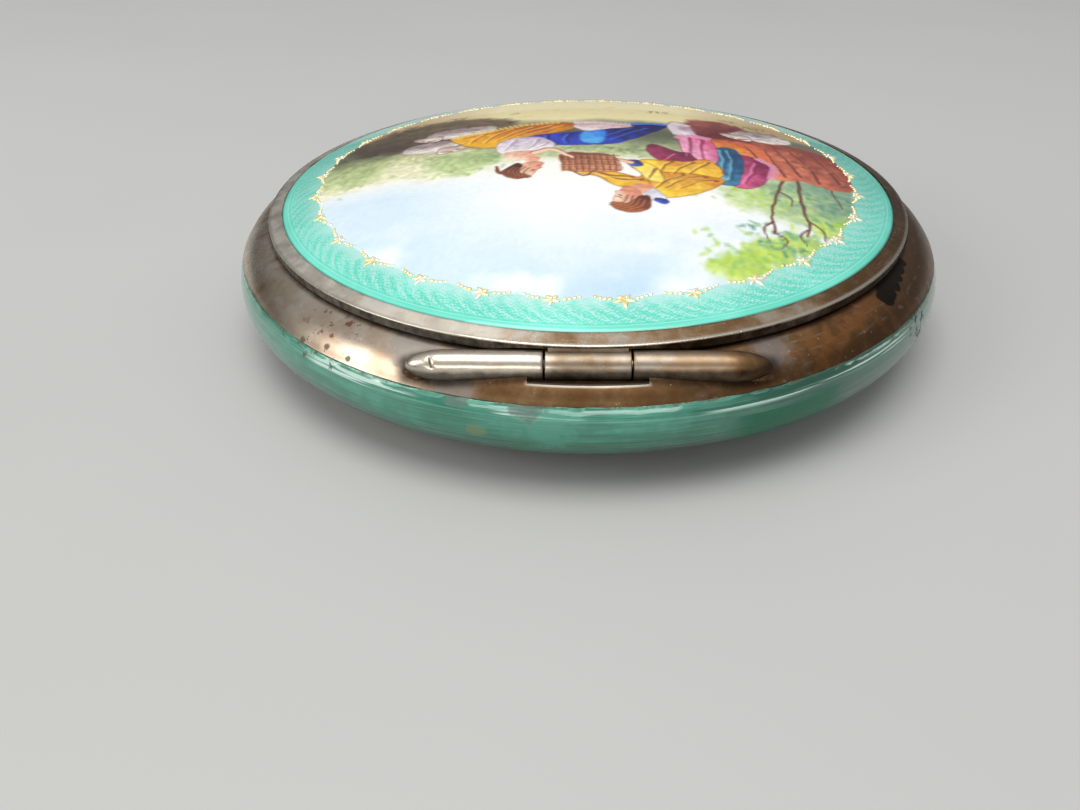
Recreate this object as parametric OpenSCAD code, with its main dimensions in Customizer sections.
// Round enamelled pill box: a metal pan and lid, a barrel hinge at the rear and a lip at the front.
// Z is the axis of the round body and Z = 0 is the flat face that it rests on.
// The hinge is at +Y and the thumb piece at -Y.

/* [Base] */
// Largest diameter of the body, at its widest line
box_d = 46.6; // [40:0.2:60]
// Height of the base's rim above the face that it rests on
base_h = 7.1; // [6.4:0.1:10]
// Radius of the round shoulder between the widest line and the rim
shoulder_r = 3.15; // [2.9:0.05:3.8]
// Radius of the tight turn just below the widest line
belly_r = 2; // [1.7:0.1:2.4]
// Angle that the tight turn goes through before the shallow underside begins
belly_turn = 50; // [42:1:58]
// Thickness of the pan's metal
pan_wall = 0.75; // [0.6:0.05:1]
// Thickness of the enamel on the pan
base_enamel_t = 0.35; // [0.25:0.05:0.5]
// Thickness of the shoulder's metal
shoulder_wall = 1.3; // [1:0.05:1.6]
// Height of the metal shoulder, from the edge of the enamel to the rim
shoulder_h = 1.6; // [1.3:0.1:2]

/* [Mouth] */
// Thickness of the ring that lines the mouth
mouth_wall = 0.45; // [0.35:0.05:0.7]
// Height of the ring that lines the mouth
mouth_h = 2.2; // [1.6:0.1:2.8]

/* [Lid] */
// Gap between the base's rim and the closed lid
lid_gap = 0.1; // [0.06:0.02:0.2]
// Distance that the bezel reaches out over the shoulder
bezel_reach = 0.75; // [0.5:0.05:1]
// Width of the bezel's sloping top
bezel_w = 0.9; // [0.7:0.05:1.2]
// Height of the bezel at its inner edge
bezel_h = 0.8; // [0.7:0.05:1.1]
// Fall of the bezel's top from its inner edge to its outer edge
bezel_fall = 0.27; // [0.1:0.01:0.35]
// Radius of the sphere that the domed lid follows
dome_r = 80; // [60:1:110]
// Thickness of the lid's metal plate
plate_t = 0.4; // [0.3:0.05:0.55]
// Thickness of the enamel on top of the lid
lid_enamel_t = 0.3; // [0.2:0.05:0.4]
// Thickness of the plain enamel inside the lid
counter_t = 0.25; // [0.15:0.05:0.35]
// Diameter of the painted picture
picture_d = 35.2; // [28:0.2:37]
// Thickness of the flange inside the lid
flange_wall = 0.6; // [0.4:0.05:0.8]
// Depth of the flange below the bezel
flange_h = 1.2; // [0.9:0.1:1.6]
// Gap all round between the flange and the mouth
flange_clear = 0.15; // [0.1:0.01:0.2]

/* [Hinge] */
// Diameter of the hinge barrel
barrel_d = 1.55; // [1.3:0.05:1.9]
// Length of the hinge from tip to tip
hinge_l = 18; // [14:0.5:21.6]
// Width of the centre knuckle
centre_w = 4.2; // [3.4:0.1:5.2]
// Gap between one knuckle and the next
knuckle_gap = 0.08; // [0.05:0.01:0.15]
// Length of each pointed tip
tip_l = 1.5; // [1.2:0.1:1.55]
// Gap between the barrel and the ring that lines the mouth
hinge_gap = 0.075; // [0.075:0.005:0.2]
// Distance from the rim down to the hinge's axis
hinge_drop = 0.4; // [0.3:0.05:0.5]
// Diameter of the hinge pin
pin_d = 0.7; // [0.5:0.05:0.8]
// Gap all round between the pin and the centre knuckle
pin_clear = 0.03; // [0.02:0.01:0.06]
// Gap all round between the barrel and the metal that moves past it
barrel_clear = 0.075; // [0.05:0.005:0.12]
// Width of the flat ledge filed into the shoulder behind the centre knuckle
ledge_w = 5.9; // [5.4:0.1:7]
// Distance from the rim down to the ledge
ledge_drop = 0.8; // [0.7:0.05:0.9]
// Width of the leaf that joins the centre knuckle to the lid
leaf_w = 3.9; // [3:0.1:4.1]
// Distance that the groove and its solder run on past each tip
solder_past = 0.2; // [0:0.1:0.4]
// Distance from the root of each tip to the start of its solder
solder_start = 0.1; // [0.05:0.05:0.4]
// Distance from the body's widest line in to the solder
solder_in = 0.3; // [0.2:0.05:0.5]

/* [Closure] */
// Width of the thumb piece where it leaves the bezel
thumb_w = 5.6; // [4:0.1:8]
// Distance that the thumb piece reaches out from the bezel
thumb_reach = 1.6; // [1.2:0.1:1.9]
// Thickness of the thumb piece
thumb_t = 0.5; // [0.4:0.05:0.5]
// Gap between the thumb piece and the shoulder below it
thumb_gap = 0.15; // [0.1:0.01:0.2]
// Radius of the catch bead on the flange
catch_r = 0.3; // [0.2:0.02:0.4]
// Distance that the catch bead stands proud of the flange
catch_proud = 0.1; // [0.05:0.01:0.12]

/* [Ornament] */
// Number of gold stars round the picture
star_count = 30; // [20:1:36]
// Radius of each gold star, to its longest point
star_r = 0.55; // [0.4:0.01:0.65]
// Height that the gold stands above the enamel
gold_proud = 0.09; // [0.05:0.01:0.15]
// Number of gold beads on each side of a star
beads_each_side = 4; // [2:1:5]
// Radius of the largest gold bead
bead_r = 0.13; // [0.08:0.01:0.16]

/* [Hidden] */
$fn = 64;

// Base, as radius and height in the turned section
box_r = box_d / 2;
widest_z = base_h - shoulder_r;
rim_r = box_r - shoulder_r;
seam_z = base_h - shoulder_h;
belly_at = box_r - belly_r;
under_r = (widest_z - belly_r * sin(belly_turn)) / (1 - sin(belly_turn));
foot_r = belly_at - (under_r - belly_r) * cos(belly_turn);
mouth_r = rim_r - mouth_wall;

// Lid
bezel_r = rim_r + bezel_reach;
bezel_z = base_h + lid_gap;
enamel_r = bezel_r - bezel_w;
edge_z = bezel_z + bezel_h;
dome_z = edge_z - sqrt(dome_r * dome_r - enamel_r * enamel_r);
flange_r = mouth_r - flange_clear;
picture_r = picture_d / 2;

// Hinge
barrel_r = barrel_d / 2;
hinge_y = rim_r + barrel_r + hinge_gap;
hinge_z = base_h - hinge_drop;
tube_end = hinge_l / 2 - tip_l;
neck_r = 0.82 * barrel_r;
nose_r = 0.42 * barrel_r;

// Leaf: it reaches in past the hinge's axis and its top lies a little below the bezel's outer edge
leaf_reach = 0.65;
leaf_sink = 0.11;
leaf_in = hinge_y - leaf_reach;
leaf_top = edge_z - bezel_fall - leaf_sink;
leaf_bottom = hinge_z + barrel_r / 3;

// Star: reach of its short points and of the valleys between points, as shares of its radius
star_side = 0.82;
star_valley = 0.42;

// Beads: distance from each to the next, size of the first against bead_r, and what each loses
bead_pitch = 2.05 * bead_r;
bead_start = star_r + 0.65 * bead_pitch;
bead_loss = 0.1;
bead_curve = 0.02;

// Margin that carries a cut past the surface that it opens
over = 1;

// Colours
gilt = "#a98f6b";
worn_gilt = "#8c7355";
bright_metal = "#cfc6b4";
gold = "#e3cf7c";
turquoise = "#6fdcc2";
sea_green = "#5fa890";
ivory = "#f3f1ea";
grey_solder = "#9c9690";

// Section of the base's outer form, moved inwards by inset and closed at the rim
module base_section(inset) {
    translate([0, inset])
        square([foot_r, base_h - inset]);
    translate([foot_r, widest_z])
        square([rim_r - foot_r, shoulder_r]);
    intersection() {
        translate([rim_r, widest_z])
            circle(shoulder_r - inset);
        translate([rim_r, widest_z])
            square(shoulder_r + over);
    }
    intersection() {
        translate([foot_r, under_r])
            circle(under_r - inset);
        polygon([
            [foot_r, -over], [foot_r, widest_z], [belly_at, widest_z],
            [belly_at + 2 * belly_r * cos(belly_turn), widest_z - 2 * belly_r * sin(belly_turn)]
        ]);
    }
    intersection() {
        translate([belly_at, widest_z])
            circle(belly_r - inset);
        polygon([
            [belly_at, widest_z], [belly_at + 2 * belly_r, widest_z],
            [belly_at + 2 * belly_r, widest_z - 2 * belly_r * sin(belly_turn)],
            [belly_at + 2 * belly_r * cos(belly_turn), widest_z - 2 * belly_r * sin(belly_turn)]
        ]);
    }
}

// One turned layer of the base below the seam, between two insets
module base_layer(outer_inset, inner_inset) {
    rotate_extrude()
        difference() {
            base_section(outer_inset);
            base_section(inner_inset);
            translate([-over, seam_z])
                square([box_r + 2 * over, base_h]);
        }
}

// A turned ring with a plain rectangular section
module ring(inner, outer, low, high) {
    rotate_extrude()
        translate([inner, low])
            square([outer - inner, high - low]);
}

// One domed layer of the lid, between two depths below its top and two radii
module dome_layer(top, bottom, inner, outer) {
    rotate_extrude()
        intersection() {
            difference() {
                translate([0, dome_z])
                    circle(dome_r - top, $fn = 256);
                translate([0, dome_z])
                    circle(dome_r - bottom, $fn = 256);
            }
            translate([inner, 0])
                square([outer - inner, dome_r]);
        }
}

// A cylinder along the hinge's axis, from one x to another
module on_axis(radius, from, to) {
    translate([from, hinge_y, hinge_z])
        rotate([0, 90, 0])
            cylinder(r = radius, h = to - from);
}

// The pointed end of the barrel, on the +X side: two cones and a round nose
module tip() {
    cone_l = (tip_l - nose_r) / 2;
    translate([tube_end, hinge_y, hinge_z])
        rotate([0, 90, 0]) {
            cylinder(r1 = barrel_r, r2 = neck_r, h = cone_l);
            translate([0, 0, cone_l])
                cylinder(r1 = neck_r, r2 = nose_r, h = cone_l);
            translate([0, 0, tip_l - nose_r])
                sphere(nose_r);
        }
}

// Space that the leaf takes between the centre knuckle and the bezel
module leaf_space() {
    translate([-leaf_w / 2, leaf_in, leaf_bottom])
        cube([leaf_w, hinge_y - leaf_in, leaf_top - leaf_bottom]);
}

module base_pan() {
    color(gilt)
        base_layer(base_enamel_t, base_enamel_t + pan_wall);
}

module base_enamel() {
    color(sea_green)
        base_layer(0, base_enamel_t);
}

module base_shoulder() {
    color(worn_gilt)
        difference() {
            rotate_extrude()
                intersection() {
                    difference() {
                        translate([rim_r, widest_z])
                            circle(shoulder_r);
                        translate([rim_r, widest_z])
                            circle(shoulder_r - shoulder_wall);
                    }
                    translate([rim_r, seam_z])
                        square([shoulder_r, shoulder_h]);
                }
            on_axis(barrel_r, -hinge_l / 2 - solder_past, hinge_l / 2 + solder_past);
            on_axis(barrel_r + barrel_clear, -centre_w / 2 - knuckle_gap, centre_w / 2 + knuckle_gap);
            translate([-ledge_w / 2, hinge_y - barrel_r - over, base_h - ledge_drop])
                cube([ledge_w, box_r, ledge_drop + over]);
        }
}

module mouth_ring() {
    color(gilt)
        ring(mouth_r, rim_r, base_h - mouth_h, base_h);
}

module hinge_knuckle_right() {
    color(bright_metal)
        difference() {
            on_axis(barrel_r, centre_w / 2 + knuckle_gap, tube_end);
            on_axis(pin_d / 2, 0, tube_end + over);
        }
}

module hinge_knuckle_left() {
    mirror([1, 0, 0])
        hinge_knuckle_right();
}

module hinge_tip_right() {
    color(bright_metal)
        tip();
}

module hinge_tip_left() {
    mirror([1, 0, 0])
        hinge_tip_right();
}

// Solder run in under the tip, which fills the groove in the shoulder out to a little past it
module hinge_solder_right() {
    color(grey_solder)
        difference() {
            intersection() {
                on_axis(barrel_r, tube_end + solder_start, hinge_l / 2 + solder_past);
                translate([0, 0, seam_z])
                    cylinder(r = box_r - solder_in, h = hinge_z - seam_z, $fn = 128);
            }
            tip();
        }
}

module hinge_solder_left() {
    mirror([1, 0, 0])
        hinge_solder_right();
}

module hinge_pin() {
    color("silver")
        on_axis(pin_d / 2, -tube_end, tube_end);
}

module lid_plate() {
    color(gilt)
        dome_layer(lid_enamel_t, lid_enamel_t + plate_t, 0, enamel_r);
}

module lid_bezel() {
    color(bright_metal)
        difference() {
            rotate_extrude() {
                polygon([
                    [enamel_r, bezel_z], [bezel_r, bezel_z],
                    [bezel_r, edge_z - bezel_fall], [enamel_r, edge_z]
                ]);
                intersection() {
                    translate([flange_r, bezel_z])
                        square([enamel_r - flange_r, bezel_h]);
                    translate([0, dome_z])
                        circle(dome_r - lid_enamel_t - plate_t, $fn = 256);
                }
            }
            on_axis(barrel_r + barrel_clear, -hinge_l / 2, hinge_l / 2);
            leaf_space();
        }
}

module lid_flange() {
    color(gilt)
        rotate_extrude()
            intersection() {
                translate([flange_r - flange_wall, bezel_z - flange_h])
                    square([flange_wall, flange_h + bezel_h]);
                translate([0, dome_z])
                    circle(dome_r - lid_enamel_t - plate_t, $fn = 256);
            }
}

module lid_counter_enamel() {
    color(ivory)
        dome_layer(
            lid_enamel_t + plate_t, lid_enamel_t + plate_t + counter_t,
            0, flange_r - flange_wall
        );
}

module lid_border_enamel() {
    color(turquoise)
        dome_layer(0, lid_enamel_t, picture_r, enamel_r);
}

module lid_picture() {
    color("aliceblue")
        dome_layer(0, lid_enamel_t, 0, picture_r);
}

// Puts its children on the dome at a radius, turned so that their +Y points outwards
module on_dome(radius, angle) {
    rotate([0, 0, angle])
        translate([0, 0, dome_z])
            rotate([-asin(radius / dome_r), 0, 0])
                translate([0, 0, dome_r])
                    children();
}

// Reach of one of the ten corners of a star, as a share of its radius
function star_reach(i) = i == 0 ? 1 : i % 2 == 0 ? star_side : star_valley;

// A five-pointed star with its longest point outwards
module star() {
    linear_extrude(2 * gold_proud, center = true)
        polygon([for (i = [0:9]) star_r * star_reach(i) * [sin(36 * i), cos(36 * i)]]);
}

module gold_stars() {
    color(gold)
        for (i = [0:star_count - 1])
            on_dome(picture_r + star_r / 5, (i + 0.5) * 360 / star_count)
                star();
}

// Beads on both sides of each star get smaller and curve in towards the picture
module gold_beads() {
    color(gold)
        for (i = [0:star_count - 1], side = [-1, 1], n = [1:beads_each_side]) {
            along = bead_start + bead_pitch * (n - 1);
            on_dome(
                picture_r + star_r / 5 - bead_curve * n * n,
                (i + 0.5) * 360 / star_count + side * asin(along / picture_r)
            )
                sphere(bead_r * (1 - bead_loss * (n - 1)), $fn = 24);
        }
}

module hinge_knuckle_centre() {
    color(bright_metal)
        difference() {
            on_axis(barrel_r, -centre_w / 2, centre_w / 2);
            on_axis(pin_d / 2 + pin_clear, -centre_w, centre_w);
        }
}

module hinge_leaf() {
    color(bright_metal)
        difference() {
            leaf_space();
            on_axis(barrel_r, -centre_w, centre_w);
        }
}

// A half-moon lip that follows the shoulder just above it
module thumb_piece() {
    disc_r = (thumb_w * thumb_w / 4 + thumb_reach * thumb_reach) / (2 * thumb_reach);
    color(bright_metal)
        intersection() {
            rotate_extrude($fn = 256)
                intersection() {
                    difference() {
                        translate([rim_r, widest_z])
                            circle(shoulder_r + thumb_gap + thumb_t);
                        translate([rim_r, widest_z])
                            circle(shoulder_r + thumb_gap);
                    }
                    translate([bezel_r, widest_z])
                        square(2 * shoulder_r);
                }
            translate([0, disc_r - bezel_r - thumb_reach, 0])
                cylinder(r = disc_r, h = 2 * base_h, $fn = 128);
        }
}

module catch_bead() {
    color(bright_metal)
        translate([0, catch_r - flange_r - catch_proud, bezel_z - flange_h / 2])
            sphere(catch_r);
}

base_pan();
base_enamel();
base_shoulder();
mouth_ring();
hinge_knuckle_left();
hinge_knuckle_right();
hinge_tip_left();
hinge_tip_right();
hinge_solder_left();
hinge_solder_right();
hinge_pin();
lid_plate();
lid_bezel();
lid_flange();
lid_counter_enamel();
lid_border_enamel();
lid_picture();
gold_stars();
gold_beads();
hinge_knuckle_centre();
hinge_leaf();
thumb_piece();
catch_bead();
